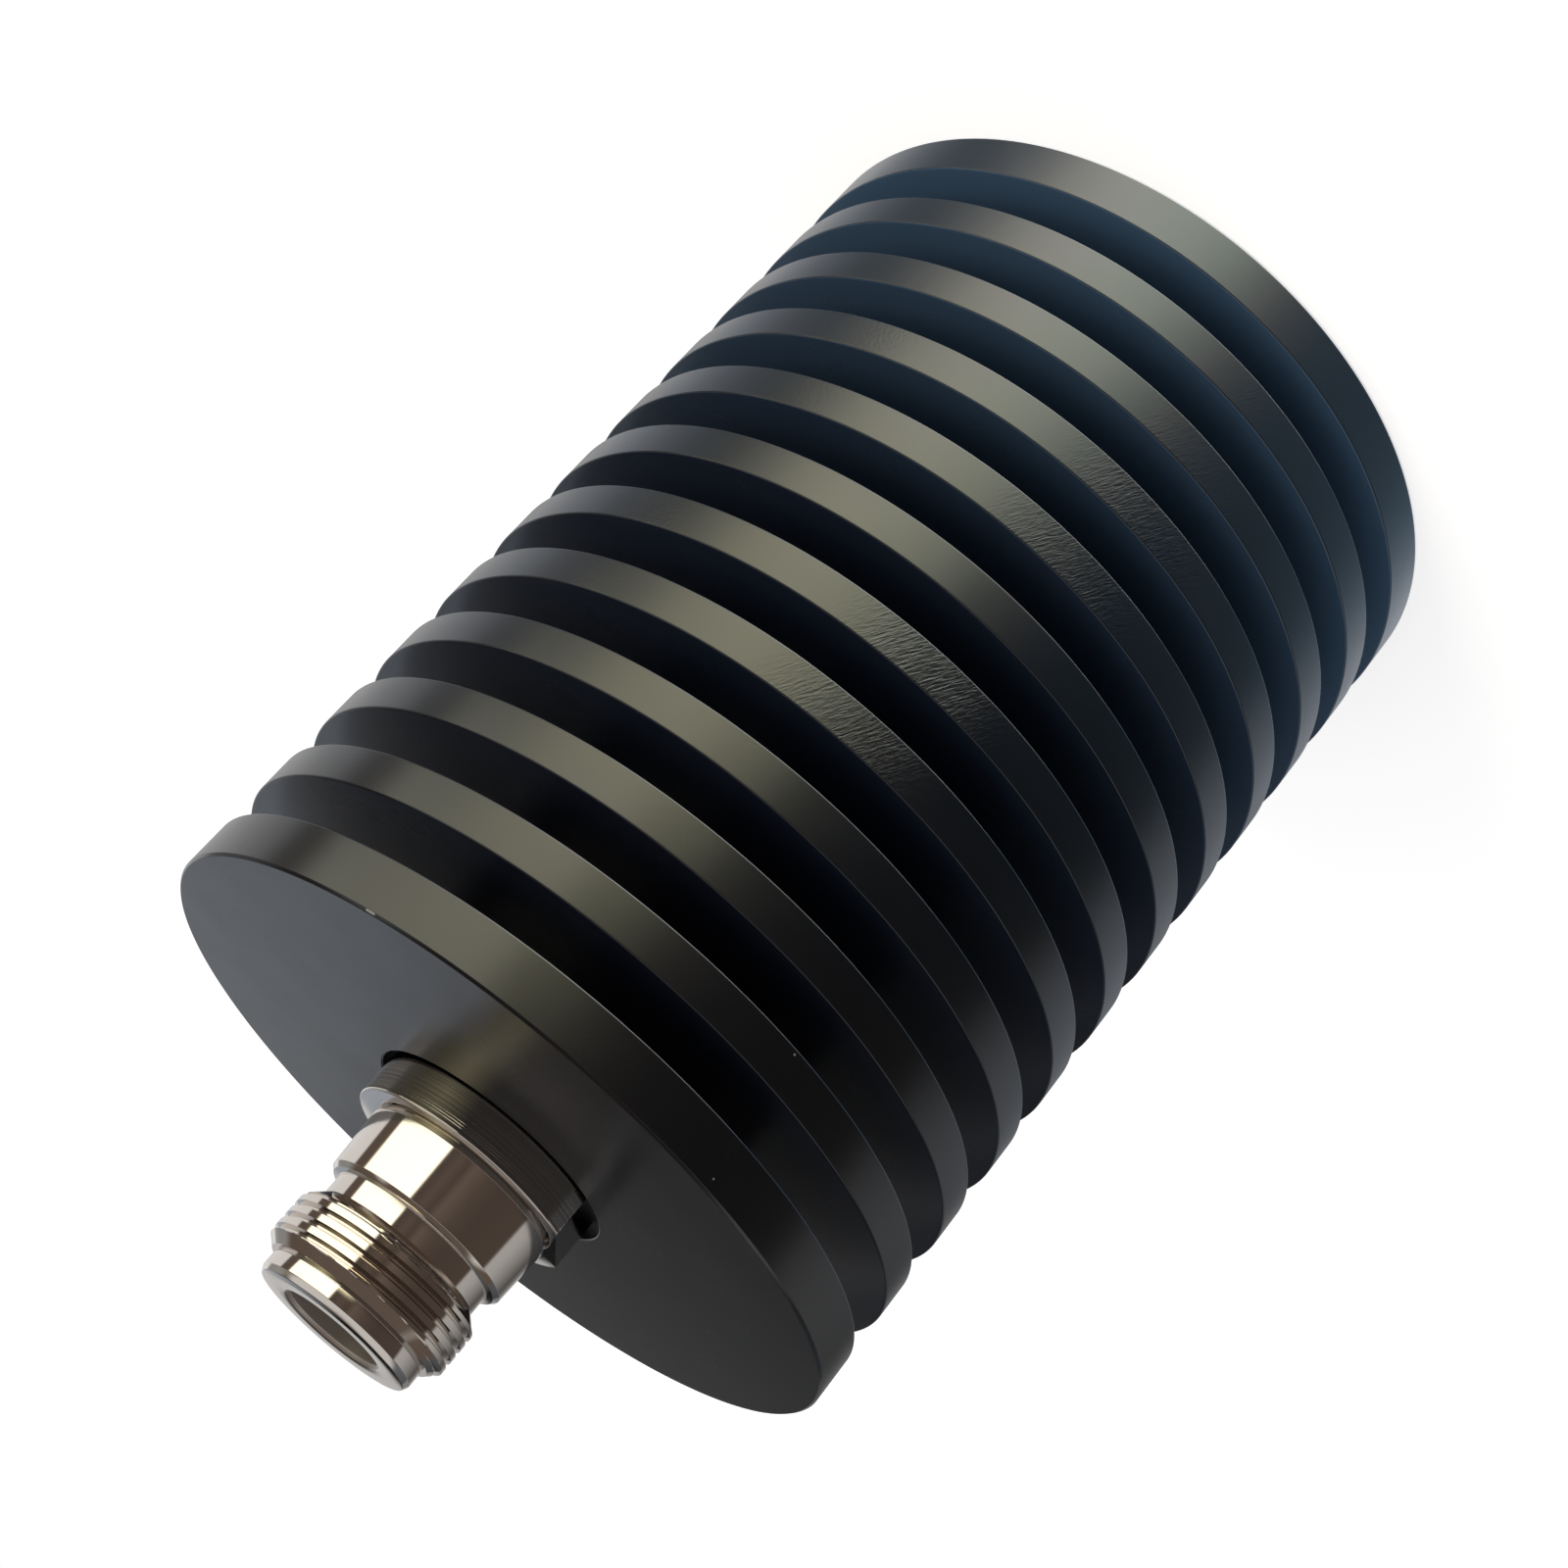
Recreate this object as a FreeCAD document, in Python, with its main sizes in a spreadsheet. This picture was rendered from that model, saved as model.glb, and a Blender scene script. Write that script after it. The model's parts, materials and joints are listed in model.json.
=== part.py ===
# Finned coaxial termination, in millimetres.
# It stands on the plain end of its heat sink: Z runs up the axis to the jack, the origin is the middle
# of the lowest face. Heights of the jack and of everything inside it are counted from the front face.
import FreeCAD, Part
import Sketcher
import math
import os

document = FreeCAD.newDocument("coaxial_termination")
sheet = document.addObject("Spreadsheet::Sheet", "Sizes")


class Size:
    # A length together with the spreadsheet expression that gives it
    def __init__(self, value, text):
        self.value = float(value)
        self.text = text

    def join(self, other, sign, value):
        return Size(value, "(" + self.text + " " + sign + " " + writing(other) + ")")

    def __add__(self, other):
        return self.join(other, "+", self.value + number(other))

    def __sub__(self, other):
        return self.join(other, "-", self.value - number(other))

    def __mul__(self, other):
        return self.join(other, "*", self.value * number(other))

    def __truediv__(self, other):
        return self.join(other, "/", self.value / number(other))

    def __neg__(self):
        return Size(-self.value, "(0 - " + self.text + ")")


def number(item):
    return item.value if isinstance(item, Size) else float(item)


def writing(item):
    return item.text if isinstance(item, Size) else str(item)


rowCount = 0


def size(alias, value, note):
    # One named size: a row of the sheet with its alias, its value and what it measures
    global rowCount
    rowCount = rowCount + 1
    row = str(rowCount)
    sheet.set("A" + row, alias)
    sheet.set("B" + row, str(value))
    sheet.set("C" + row, note)
    sheet.setAlias("B" + row, alias)
    return Size(value, "Sizes." + alias)


# Heat sink
sinkRadius = size("sink_radius", 30.0, "outer radius of the fins")
sinkLength = size("sink_length", 82.0, "heat sink from end face to front face")
endFin = size("end_fin", 4.1, "thickness of the first and last fin")
grooveWidth = size("groove_width", 3.8, "gap between two fins")
grooveCount = size("groove_count", 11, "number of gaps, spread evenly between the two end fins")
coreRadius = size("core_radius", 15.0, "solid core that carries the fins")
rimChamfer = size("rim_chamfer", 0.2, "broken edges of the two end faces")
recessRadius = size("recess_radius", 10.2, "shallow round seat in the front face")
recessDepth = size("recess_depth", 1.0, "depth of the seat")
recessChamfer = size("recess_chamfer", 0.15, "broken edge of the seat")
boreRadius = size("bore_radius", 8.0, "bore for the jack and the load")
boreSpare = size("bore_spare", 2.0, "full bore beyond the end of the carrier")
boreChamfer = size("bore_chamfer", 0.4, "entry chamfer of the bore")
drillSlope = size("drill_slope", 0.6009, "height of a 118 degree drill point per radius")

# Lock screw of the jack
lockRadius = size("lock_radius", 1.5, "nominal radius of the M3 grub screw")
lockLength = size("lock_length", 6.0, "length of the grub screw")
lockKey = size("lock_key", 1.5, "key size of its socket")
lockKeyDepth = size("lock_key_depth", 1.6, "depth of its socket")

# Jack, heights above the front face
spigotClearance = size("spigot_clearance", 0.03, "spigot to bore, radial")
spigotDepth = size("spigot_depth", 9.0, "spigot end below the front face")
baseRadius = size("base_radius", 9.7, "round base of the jack")
baseTop = size("base_top", 3.2, "front of the base")
baseChamfer = size("base_chamfer", 0.3, "broken front edge of the base")
flatDistance = size("flat_distance", 8.8, "milled flat to the axis")
jackTurn = size("jack_turn", 13.1, "how far the jack and the load in it are turned about Z, degrees")
slitRadius = size("slit_radius", 7.5, "narrow groove between base and collar")
slitWidth = size("slit_width", 0.35, "width of that groove")
collarRadius = size("collar_radius", 7.95, "plain collar")
collarLength = size("collar_length", 5.1, "length of the collar")
collarBevel = size("collar_bevel", 0.35, "bevel of the collar")
neckRadius = size("neck_radius", 6.85, "neck behind the thread")
neckLength = size("neck_length", 1.75, "length of the neck")
backCone = size("back_cone", 1.1, "run-out cone behind the thread")
threadRadius = size("thread_radius", 7.94, "crests of the 5/8-24 thread")
frontCone = size("front_cone", 1.2, "entry cone in front of the thread")
coneRadius = size("cone_radius", 6.8, "small end of the front cone")
noseSlitRadius = size("nose_slit_radius", 6.45, "small groove behind the nose")
noseSlitWidth = size("nose_slit_width", 0.2, "width of that groove")
noseLength = size("nose_length", 1.5, "nose and the small groove behind it")
noseRadius = size("nose_radius", 6.75, "plain nose")
noseRound = size("nose_round", 0.7, "rounded edge of the nose")
jackHeight = size("jack_height", 17.45, "front of the nose")
mouthRadius = size("mouth_radius", 4.05, "bore that takes the plug's sleeve")
mouthChamfer = size("mouth_chamfer", 0.3, "entry chamfer of that bore")
planeDepth = size("plane_depth", 9.1, "reference plane behind the front of the nose")
lineRadius = size("line_radius", 3.5, "outer conductor of the 50 ohm air line")
lineLength = size("line_length", 3.2, "air line between the reference plane and the front bead")
beadRadius = size("bead_radius", 4.25, "bore behind the shoulder")

# Contact, beads and spacer
contactRadius = size("contact_radius", 1.52, "centre contact")
contactStand = size("contact_stand", 4.8, "tip of the contact in front of the reference plane")
tipChamfer = size("tip_chamfer", 0.25, "broken edge of the tip")
socketRadius = size("socket_radius", 0.84, "socket for the plug's pin")
socketDepth = size("socket_depth", 6.0, "depth of the socket")
slotWidth = size("slot_width", 0.25, "slots that part the contact's fingers")
slotLength = size("slot_length", 5.0, "length of the slots")
waistRadius = size("waist_radius", 1.27, "contact inside the beads and at its tail")
beadFit = size("bead_fit", 0.02, "small gap between a bead and what it holds or sits in")
frontBead = size("front_bead", 4.0, "length of the front bead")
rearBead = size("rear_bead", 3.0, "length of the rear bead")
ringLength = size("ring_length", 2.0, "length of the retaining ring")
ringInside = size("ring_inside", 2.7, "hole of the retaining ring")
ringSlot = size("ring_slot", 0.9, "driver slots of the retaining ring")
ringSlotDepth = size("ring_slot_depth", 0.8, "depth of the driver slots")
tailOut = size("tail_out", 3.5, "end of the contact behind the spigot")
tailFlat = size("tail_flat", 3.3, "length of the solder flat at the tail")

# Load carrier
carrierClearance = size("carrier_clearance", 0.05, "carrier to bore, radial")
carrierPlate = size("carrier_plate", 3.0, "thickness of the carrier's round front plate")
carrierLength = size("carrier_length", 29.0, "length of the carrier")
carrierHole = size("carrier_hole", 3.5, "hole in the front plate")
platformDrop = size("platform_drop", 4.0, "platform below the axis")
carrierChamfer = size("carrier_chamfer", 0.3, "broken edges of the carrier")
screwAcross = size("screw_across", 5.4, "carrier screws beside the axis")
screwAbove = size("screw_above", 2.5, "carrier screws above the axis")
screwRadius = size("screw_radius", 1.0, "nominal radius of the M2 screws")
screwGap = size("screw_gap", 0.1, "clearance hole round a screw, radial")
screwHead = size("screw_head", 1.9, "head radius of the M2 screws")
screwHeadHeight = size("screw_head_height", 2.0, "head height of the M2 screws")
screwLength = size("screw_length", 6.0, "length of the M2 screws under the head")
screwKey = size("screw_key", 1.5, "key size of the M2 screws")
screwKeyDepth = size("screw_key_depth", 1.0, "depth of their sockets")
tapSpare = size("tap_spare", 0.8, "tapped hole beyond the end of its screw")

# Load resistor
flangeGap = size("flange_gap", 3.0, "front plate of the carrier to the resistor's flange")
flangeLength = size("flange_length", 20.0, "length of the flange")
flangeWidth = size("flange_width", 9.5, "width of the flange")
flangeThickness = size("flange_thickness", 3.0, "thickness of the flange")
flangeHole = size("flange_hole", 16.0, "hole of the flange from its front end")
substrateMargin = size("substrate_margin", 0.4, "flange edge to ceramic")
substrateLength = size("substrate_length", 9.5, "length of the ceramic plate")
substrateWidth = size("substrate_width", 8.7, "width of the ceramic plate")
coverMargin = size("cover_margin", 1.6, "front edge of the plate to its cover")
coverLength = size("cover_length", 6.6, "length of the cover")
coverWidth = size("cover_width", 7.9, "width of the cover")
coverThickness = size("cover_thickness", 1.0, "thickness of the cover")
tabWidth = size("tab_width", 2.0, "width of the flat lead")
tabThickness = size("tab_thickness", 0.2, "thickness of the flat lead")
tabOverlap = size("tab_overlap", 1.4, "flat lead on the ceramic plate")
tabGap = size("tab_gap", 0.6, "end of the flat lead behind the spigot")
clampRadius = size("clamp_radius", 1.25, "nominal radius of the M2.5 screw")
clampHead = size("clamp_head", 2.25, "head radius of the M2.5 screw")
clampHeadHeight = size("clamp_head_height", 2.5, "head height of the M2.5 screw")
clampLength = size("clamp_length", 6.0, "length of the M2.5 screw under the head")
clampKey = size("clamp_key", 2.0, "key size of the M2.5 screw")
clampKeyDepth = size("clamp_key_depth", 1.2, "depth of its socket")
washerOutside = size("washer_outside", 2.5, "outer radius of the spring washer")
washerInside = size("washer_inside", 1.35, "hole radius of the spring washer")
washerThickness = size("washer_thickness", 0.6, "thickness of the spring washer")
washerSplit = size("washer_split", 0.5, "gap where the spring washer is split")

document.recompute()


def newBody(name):
    body = document.addObject("PartDesign::Body", name)
    body.Label = name
    return body


def originPlane(body, role):
    for item in body.Origin.OriginFeatures:
        if item.Role == role:
            return item
    raise RuntimeError("no plane " + role)


def newSketch(body, name, role, offset=None):
    # A sketch on one of the body's own origin planes, moved along the plane's normal by the offset
    sketch = body.newObject("Sketcher::SketchObject", name)
    sketch.AttachmentSupport = [(originPlane(body, role), "")]
    sketch.MapMode = "FlatFace"
    if offset is not None:
        shift = FreeCAD.Vector(0, 0, number(offset))
        sketch.AttachmentOffset = FreeCAD.Placement(shift, FreeCAD.Rotation())
        sketch.setExpression("AttachmentOffset.Base.z", writing(offset))
    return sketch


def bind(sketch, kind, places, amount):
    index = sketch.addConstraint(Sketcher.Constraint(kind, *places, number(amount)))
    if isinstance(amount, Size):
        sketch.setExpression("Constraints[" + str(index) + "]", amount.text)


def fixPoint(sketch, geometry, end, across, up):
    # Both coordinates of a point: zero lies on the sketch axis, any other value is a bound distance
    if number(across) == 0:
        sketch.addConstraint(Sketcher.Constraint("PointOnObject", geometry, end, -2))
    else:
        bind(sketch, "DistanceX", (-1, 1, geometry, end), across)
    if number(up) == 0:
        sketch.addConstraint(Sketcher.Constraint("PointOnObject", geometry, end, -1))
    else:
        bind(sketch, "DistanceY", (-1, 1, geometry, end), up)


def drawOutline(sketch, corners):
    # Closed outline through the corners, anticlockwise. A corner with a third entry starts an arc to the
    # next one: the entry holds the arc's radius and centre, and the centre only picks the arc's side.
    count = len(corners)
    for index, start in enumerate(corners):
        finish = corners[(index + 1) % count]
        first = FreeCAD.Vector(number(start[0]), number(start[1]), 0)
        last = FreeCAD.Vector(number(finish[0]), number(finish[1]), 0)
        if len(start) == 2:
            sketch.addGeometry(Part.LineSegment(first, last), False)
            continue
        radius, centreX, centreY = start[2]
        centre = FreeCAD.Vector(number(centreX), number(centreY), 0)
        firstAngle = math.atan2(first.y - centre.y, first.x - centre.x)
        lastAngle = math.atan2(last.y - centre.y, last.x - centre.x)
        circle = Part.Circle(centre, FreeCAD.Vector(0, 0, 1), number(radius))
        sketch.addGeometry(Part.ArcOfCircle(circle, firstAngle, lastAngle), False)
    for index, corner in enumerate(corners):
        sketch.addConstraint(Sketcher.Constraint("Coincident", index, 2, (index + 1) % count, 1))
        fixPoint(sketch, index, 1, corner[0], corner[1])
        if len(corner) == 3:
            bind(sketch, "Radius", (index,), corner[2][0])


def drawCircle(sketch, across, up, radius):
    centre = FreeCAD.Vector(number(across), number(up), 0)
    index = sketch.addGeometry(Part.Circle(centre, FreeCAD.Vector(0, 0, 1), number(radius)), False)
    fixPoint(sketch, index, 3, across, up)
    bind(sketch, "Radius", (index,), radius)


def drawBox(sketch, left, right, low, high):
    drawOutline(sketch, [(left, low), (right, low), (right, high), (left, high)])


def revolve(body, name, sketch, kind="PartDesign::Revolution"):
    feature = body.newObject(kind, name)
    feature.Profile = sketch
    feature.ReferenceAxis = (sketch, ["V_Axis"])
    feature.Angle = 360.0
    sketch.Visibility = False
    return feature


def extrude(body, name, sketch, length, kind="PartDesign::Pad", turned=False):
    feature = body.newObject(kind, name)
    feature.Profile = sketch
    feature.Length = number(length)
    if isinstance(length, Size):
        feature.setExpression("Length", length.text)
    feature.Reversed = turned
    sketch.Visibility = False
    return feature


def stand(item, height, turn):
    # Puts a piece at its height on the axis, turned about the axis with the jack where that is asked
    angle = jackTurn if turn else Size(0.0, "0")
    rotation = FreeCAD.Rotation(FreeCAD.Vector(0, 0, 1), angle.value)
    item.Placement = FreeCAD.Placement(FreeCAD.Vector(0, 0, number(height)), rotation)
    item.setExpression("Placement.Base.z", writing(height))
    if turn:
        item.setExpression("Placement.Rotation.Angle", angle.text + " * 1 deg")


# Corner radius of a hexagon per size across its flats
hexagonCorner = 0.57735

pieces = []

# The heat sink: turned bar with bore and seat, then one gap repeated along the axis
sink = newBody("heat_sink")
outline = newSketch(sink, "sink_outline", "XZ_Plane")
carrierEnd = spigotDepth + carrierLength
boreEnd = sinkLength - carrierEnd - boreSpare
seatFloor = sinkLength - recessDepth
drawOutline(outline, [
    (0, 0),
    (sinkRadius - rimChamfer, 0),
    (sinkRadius, rimChamfer),
    (sinkRadius, sinkLength - rimChamfer),
    (sinkRadius - rimChamfer, sinkLength),
    (recessRadius + recessChamfer, sinkLength),
    (recessRadius, sinkLength - recessChamfer),
    (recessRadius, seatFloor),
    (boreRadius + boreChamfer, seatFloor),
    (boreRadius, seatFloor - boreChamfer),
    (boreRadius, boreEnd),
    (0, boreEnd - boreRadius * drillSlope),
])
revolve(sink, "sink_bar", outline)
outline = newSketch(sink, "gap_outline", "XZ_Plane")
gapLow = endFin
gapHigh = endFin + grooveWidth
drawBox(outline, coreRadius, sinkRadius * 1.1, gapLow, gapHigh)
gap = revolve(sink, "fin_gap", outline, "PartDesign::Groove")
gaps = sink.newObject("PartDesign::LinearPattern", "fin_gaps")
gaps.Originals = [gap]
gaps.Direction = (outline, ["V_Axis"])
gapsLength = sinkLength - endFin * 2 - grooveWidth
gaps.Length = gapsLength.value
gaps.Occurrences = int(grooveCount.value)
gaps.setExpression("Length", gapsLength.text)
gaps.setExpression("Occurrences", grooveCount.text)
sink.Tip = gaps
lockHeight = sinkLength - endFin - grooveWidth / 2
circle = newSketch(sink, "lock_hole_outline", "XZ_Plane")
drawCircle(circle, 0, lockHeight, lockRadius)
extrude(sink, "lock_hole", circle, coreRadius + lockRadius, "PartDesign::Pocket")
stand(sink, 0, False)
pieces.append(sink)

# Grub screw, across the first gap, its point on the jack's spigot
lock = newBody("lock_grub_screw")
circle = newSketch(lock, "lock_outline", "XZ_Plane", -boreRadius)
drawCircle(circle, 0, 0, lockRadius)
extrude(lock, "lock_shank", circle, lockLength, turned=True)
circle = newSketch(lock, "lock_socket_outline", "XZ_Plane", -(boreRadius + lockLength))
lockFlat = lockKey / 2
lockTip = lockKey * hexagonCorner
lockSide = lockTip / 2
drawOutline(circle, [
    (lockFlat, -lockSide), (lockFlat, lockSide), (0, lockTip),
    (-lockFlat, lockSide), (-lockFlat, -lockSide), (0, -lockTip),
])
extrude(lock, "lock_socket", circle, lockKeyDepth, "PartDesign::Pocket", turned=True)
stand(lock, lockHeight, False)
pieces.append(lock)

# The jack: one turned piece with one milled flat and two tapped holes in its spigot
jack = newBody("connector_body")
outline = newSketch(jack, "jack_outline", "XZ_Plane")
spigotRadius = boreRadius - spigotClearance
baseLow = -recessDepth
slitTop = baseTop + slitWidth
collarTop = slitTop + collarLength
neckTop = collarTop + neckLength
threadStart = neckTop + backCone
noseBack = jackHeight - noseLength
threadEnd = noseBack - frontCone
planeHeight = jackHeight - planeDepth
lineHeight = planeHeight - lineLength
drawOutline(outline, [
    (beadRadius, -spigotDepth),
    (spigotRadius, -spigotDepth),
    (spigotRadius, baseLow),
    (baseRadius, baseLow),
    (baseRadius, baseTop - baseChamfer),
    (baseRadius - baseChamfer, baseTop),
    (slitRadius, baseTop),
    (slitRadius, slitTop),
    (collarRadius, slitTop),
    (collarRadius, collarTop - collarBevel),
    (collarRadius - collarBevel, collarTop),
    (neckRadius, collarTop),
    (neckRadius, neckTop),
    (threadRadius, threadStart),
    (threadRadius, threadEnd),
    (coneRadius, noseBack),
    (noseSlitRadius, noseBack),
    (noseSlitRadius, noseBack + noseSlitWidth),
    (noseRadius, noseBack + noseSlitWidth),
    (noseRadius, jackHeight - noseRound,
     (noseRound, noseRadius - noseRound, jackHeight - noseRound)),
    (noseRadius - noseRound, jackHeight),
    (mouthRadius + mouthChamfer, jackHeight),
    (mouthRadius, jackHeight - mouthChamfer),
    (mouthRadius, planeHeight),
    (lineRadius, planeHeight),
    (lineRadius, lineHeight),
    (beadRadius, lineHeight),
])
revolve(jack, "jack_turning", outline)
outline = newSketch(jack, "flat_outline", "XY_Plane", baseLow)
drawBox(outline, -(baseRadius * 1.1), -flatDistance, -baseRadius, baseRadius)
extrude(jack, "milled_flat", outline, baseTop - baseLow, "PartDesign::Pocket", turned=True)
outline = newSketch(jack, "tap_outline", "XY_Plane", -spigotDepth)
drawCircle(outline, screwAcross, screwAbove, screwRadius)
drawCircle(outline, -screwAcross, screwAbove, screwRadius)
tapDepth = screwLength - carrierPlate + tapSpare
extrude(jack, "tapped_holes", outline, tapDepth, "PartDesign::Pocket", turned=True)
stand(jack, sinkLength, True)
pieces.append(jack)

# Centre contact with its socket, four slots and the solder flat
contact = newBody("centre_contact")
outline = newSketch(contact, "contact_outline", "XZ_Plane")
contactTip = planeHeight + contactStand
frontBeadLow = lineHeight - frontBead
rearBeadLow = ringLength - spigotDepth
spacerLow = rearBeadLow + rearBead
socketFloor = contactTip - socketDepth
tailEnd = spigotDepth + tailOut
drawOutline(outline, [
    (0, -tailEnd),
    (waistRadius, -tailEnd),
    (waistRadius, spacerLow),
    (contactRadius, spacerLow),
    (contactRadius, frontBeadLow),
    (waistRadius, frontBeadLow),
    (waistRadius, lineHeight),
    (contactRadius, lineHeight),
    (contactRadius, contactTip - tipChamfer),
    (contactRadius - tipChamfer, contactTip),
    (socketRadius, contactTip),
    (socketRadius, socketFloor),
    (0, socketFloor - socketRadius * drillSlope),
])
revolve(contact, "contact_turning", outline)
outline = newSketch(contact, "slot_outline", "XY_Plane", contactTip)
halfSlot = slotWidth / 2
reach = contactRadius * 1.2
drawBox(outline, socketRadius * 0.5, reach, -halfSlot, halfSlot)
slot = extrude(contact, "finger_slot", outline, slotLength, "PartDesign::Pocket")
slots = contact.newObject("PartDesign::PolarPattern", "finger_slots")
slots.Originals = [slot]
slots.Axis = (outline, ["N_Axis"])
slots.Angle = 360.0
slots.Occurrences = 4
contact.Tip = slots
outline = newSketch(contact, "tail_outline", "XY_Plane", -tailEnd)
drawBox(outline, -reach, reach, 0, reach)
extrude(contact, "solder_flat", outline, tailFlat, "PartDesign::Pocket", turned=True)
stand(contact, sinkLength, True)
pieces.append(contact)


def ringPiece(name, inside, outside, low, high):
    # Plain ring between two heights
    body = newBody(name)
    profile = newSketch(body, name + "_outline", "XZ_Plane")
    drawBox(profile, inside, outside, low, high)
    revolve(body, name + "_turning", profile)
    stand(body, sinkLength, True)
    return body


seatRadius = beadRadius - beadFit
pieces.append(ringPiece("front_bead", waistRadius + beadFit, seatRadius, frontBeadLow, lineHeight))
pieces.append(ringPiece("line_spacer", lineRadius, seatRadius, spacerLow, frontBeadLow))
pieces.append(ringPiece("rear_bead", waistRadius + beadFit, seatRadius, rearBeadLow, spacerLow))
ring = ringPiece("bead_retaining_ring", ringInside, seatRadius, -spigotDepth, rearBeadLow)
outline = newSketch(ring, "ring_slot_outline", "XY_Plane", -spigotDepth)
drawBox(outline, -beadRadius, beadRadius, -(ringSlot / 2), ringSlot / 2)
extrude(ring, "driver_slots", outline, ringSlotDepth, "PartDesign::Pocket", turned=True)
pieces.append(ring)

# Load carrier: bar with a round plate in front and a flat platform behind it
carrier = newBody("load_carrier")
outline = newSketch(carrier, "carrier_outline", "XZ_Plane")
carrierRadius = boreRadius - carrierClearance
plateLow = -(spigotDepth + carrierPlate)
drawOutline(outline, [
    (0, -carrierEnd),
    (carrierRadius - carrierChamfer, -carrierEnd),
    (carrierRadius, carrierChamfer - carrierEnd),
    (carrierRadius, -(spigotDepth + carrierChamfer)),
    (carrierRadius - carrierChamfer, -spigotDepth),
    (0, -spigotDepth),
])
revolve(carrier, "carrier_bar", outline)
outline = newSketch(carrier, "platform_outline", "XY_Plane", plateLow)
drawBox(outline, -(boreRadius * 1.1), boreRadius * 1.1, -platformDrop, boreRadius * 1.1)
extrude(carrier, "platform", outline, carrierLength, "PartDesign::Pocket")
outline = newSketch(carrier, "plate_holes_outline", "XY_Plane", -spigotDepth)
drawCircle(outline, 0, 0, carrierHole)
drawCircle(outline, screwAcross, screwAbove, screwRadius + screwGap)
drawCircle(outline, -screwAcross, screwAbove, screwRadius + screwGap)
extrude(carrier, "plate_holes", outline, carrierPlate, "PartDesign::Pocket")
flangeStart = spigotDepth + carrierPlate + flangeGap
holeHeight = -(flangeStart + flangeHole)
clampDepth = clampLength - flangeThickness - washerThickness + tapSpare
outline = newSketch(carrier, "clamp_tap_outline", "XZ_Plane", platformDrop)
drawCircle(outline, 0, holeHeight, clampRadius)
extrude(carrier, "clamp_tap", outline, clampDepth, "PartDesign::Pocket", turned=True)
stand(carrier, sinkLength, True)
pieces.append(carrier)

# Load resistor: flange, ceramic plate, cover and flat lead, on the platform
flange = newBody("resistor_flange")
outline = newSketch(flange, "flange_outline", "XZ_Plane", platformDrop)
halfFlange = flangeWidth / 2
flangeEnd = -(flangeStart + flangeLength)
drawBox(outline, -halfFlange, halfFlange, flangeEnd, -flangeStart)
drawCircle(outline, 0, holeHeight, clampRadius + screwGap)
extrude(flange, "flange_plate", outline, flangeThickness, turned=True)
stand(flange, sinkLength, True)
pieces.append(flange)

flangeTop = flangeThickness - platformDrop
plateThickness = platformDrop - flangeThickness
plateStart = flangeStart + substrateMargin
plate = newBody("resistor_substrate")
outline = newSketch(plate, "substrate_outline", "XZ_Plane", -flangeTop)
halfPlate = substrateWidth / 2
drawBox(outline, -halfPlate, halfPlate, -(plateStart + substrateLength), -plateStart)
extrude(plate, "substrate_plate", outline, plateThickness, turned=True)
stand(plate, sinkLength, True)
pieces.append(plate)

cover = newBody("resistor_cover")
outline = newSketch(cover, "cover_outline", "XZ_Plane")
halfCover = coverWidth / 2
coverStart = plateStart + coverMargin
drawBox(outline, -halfCover, halfCover, -(coverStart + coverLength), -coverStart)
extrude(cover, "cover_plate", outline, coverThickness, turned=True)
stand(cover, sinkLength, True)
pieces.append(cover)

tab = newBody("resistor_tab")
outline = newSketch(tab, "tab_outline", "XZ_Plane")
halfTab = tabWidth / 2
tabEnd = spigotDepth + tabGap
drawBox(outline, -halfTab, halfTab, -(plateStart + tabOverlap), -tabEnd)
extrude(tab, "tab_strip", outline, tabThickness, turned=True)
stand(tab, sinkLength, True)
pieces.append(tab)

washer = newBody("flange_lock_washer")
outline = newSketch(washer, "washer_outline", "XZ_Plane", -flangeTop)
drawCircle(outline, 0, holeHeight, washerOutside)
drawCircle(outline, 0, holeHeight, washerInside)
extrude(washer, "washer_ring", outline, washerThickness, turned=True)
outline = newSketch(washer, "split_outline", "XZ_Plane", -flangeTop)
halfSplit = washerSplit / 2
drawBox(outline, -halfSplit, halfSplit, holeHeight, holeHeight + washerOutside * 1.2)
extrude(washer, "washer_gap", outline, washerThickness, "PartDesign::Pocket")
stand(washer, sinkLength, True)
pieces.append(washer)


def cylinder(name, radius, height, place, rotation):
    item = document.addObject("Part::Cylinder", name)
    item.Radius = number(radius)
    item.Height = number(height)
    item.setExpression("Radius", writing(radius))
    item.setExpression("Height", writing(height))
    settle(item, place, rotation)
    return item


def hexagon(name, key, height, place, rotation):
    item = document.addObject("Part::Prism", name)
    item.Polygon = 6
    across = key * hexagonCorner
    item.Circumradius = across.value
    item.Height = number(height)
    item.setExpression("Circumradius", across.text)
    item.setExpression("Height", writing(height))
    settle(item, place, rotation)
    return item


def settle(item, place, rotation):
    base = FreeCAD.Vector(number(place[0]), number(place[1]), number(place[2]))
    item.Placement = FreeCAD.Placement(base, rotation)
    for axis, amount in zip("xyz", place):
        if isinstance(amount, Size):
            item.setExpression("Placement.Base." + axis, amount.text)


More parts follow.
